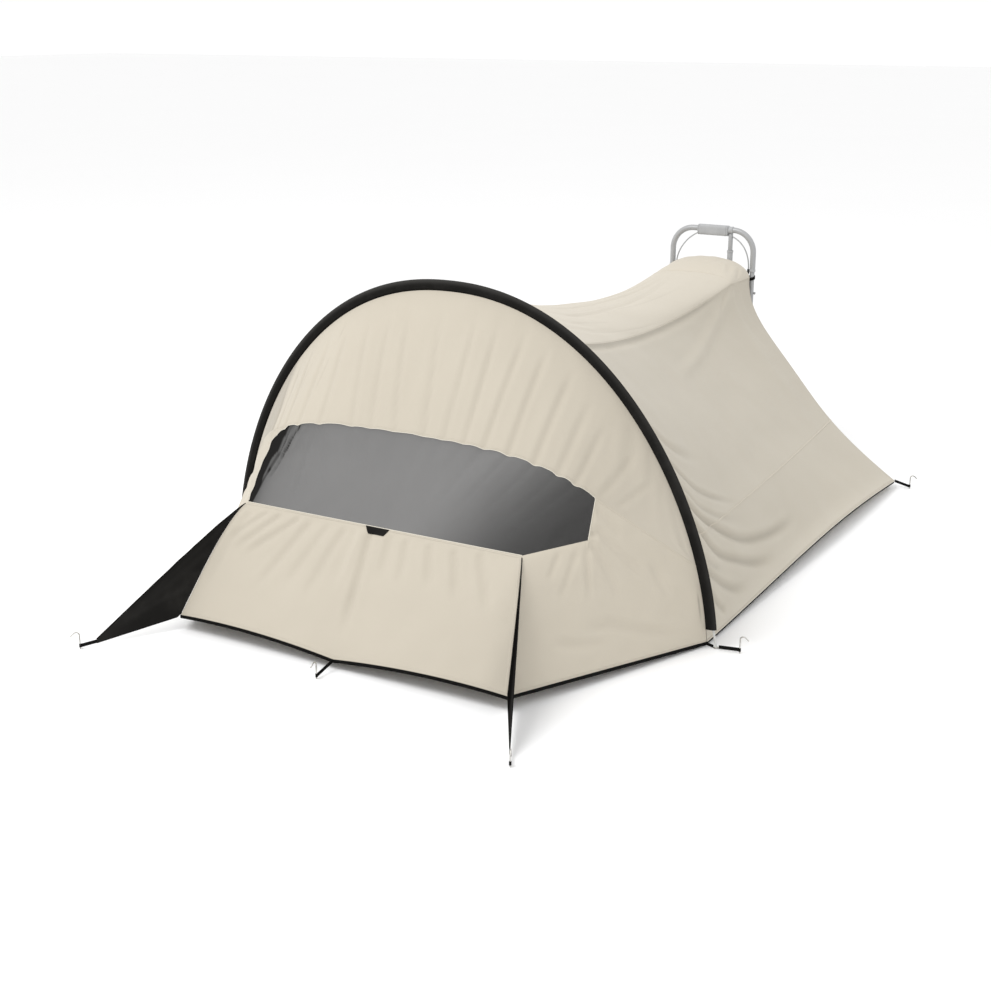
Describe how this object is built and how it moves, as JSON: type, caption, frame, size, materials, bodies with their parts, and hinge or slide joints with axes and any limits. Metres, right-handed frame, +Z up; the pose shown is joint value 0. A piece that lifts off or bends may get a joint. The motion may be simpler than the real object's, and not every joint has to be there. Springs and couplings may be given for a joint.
{
  "type": "camping tarp",
  "caption": "Low camping tarp shelter on a front arch pole, with a mesh window, pegged corners and an open rear end held up by a tubular frame with a carrying grip.",
  "frame": {"origin": "middle of the footprint, at ground level", "axes": "+X to the right seen from the front window, +Y from the front window to the rear frame, +Z up"},
  "size_m": [2.2142, 3.3952, 1.1341],
  "materials": {
    "canvas": "matt woven, light beige",
    "mesh": "fine dark mesh",
    "black_cloth": "matt black woven",
    "webbing": "ribbed black webbing",
    "peg_steel": "bright wire",
    "frame_tube": "satin grey",
    "grip_plastic": "matt light grey",
    "rubber": "matt black"
  },
  "bodies": {
    "root": {"hood_panel": "canvas", "front_wall": "canvas", "bulwark_left": "canvas", "bulwark_right": "canvas", "roof_panel": "canvas", "rear_cap": "canvas", "side_wall_lower_left": "canvas", "side_wall_lower_right": "canvas", "side_wall_upper_left": "canvas", "side_wall_upper_right": "canvas", "window_mesh": "mesh", "fin_left": "black_cloth", "fin_right": "black_cloth", "arch_sleeve": "black_cloth", "window_tab": "black_cloth", "hem_webbing": "webbing", "strap_arch_left": "webbing", "strap_arch_right": "webbing", "strap_fin_left": "webbing", "strap_fin_right": "webbing", "strap_front": "webbing", "strap_rear_left": "webbing", "strap_rear_right": "webbing", "leg_strap_left": "webbing", "leg_strap_right": "webbing", "peg_arch_left": "peg_steel", "peg_arch_right": "peg_steel", "peg_fin_left": "peg_steel", "peg_fin_right": "peg_steel", "peg_front": "peg_steel", "peg_rear_left": "peg_steel", "peg_rear_right": "peg_steel", "grommet_left": "peg_steel", "grommet_right": "peg_steel", "arch_pole": "frame_tube", "cap_bar": "frame_tube", "handle_bow": "frame_tube", "leg_left": "frame_tube", "leg_right": "frame_tube", "lower_crossbar": "frame_tube", "post_lower": "frame_tube", "post_upper": "frame_tube", "handle_grip": "grip_plastic", "leg_collar_left": "grip_plastic", "leg_collar_right": "grip_plastic", "lock_knob_left": "grip_plastic", "lock_knob_right": "grip_plastic", "post_ring": "grip_plastic", "release_cable_left": "grip_plastic", "release_cable_right": "grip_plastic", "tee_collar": "grip_plastic", "cable_lug_left": "rubber", "cable_lug_right": "rubber", "leg_foot_left": "rubber", "leg_foot_right": "rubber"}
  },
  "joints": []
}
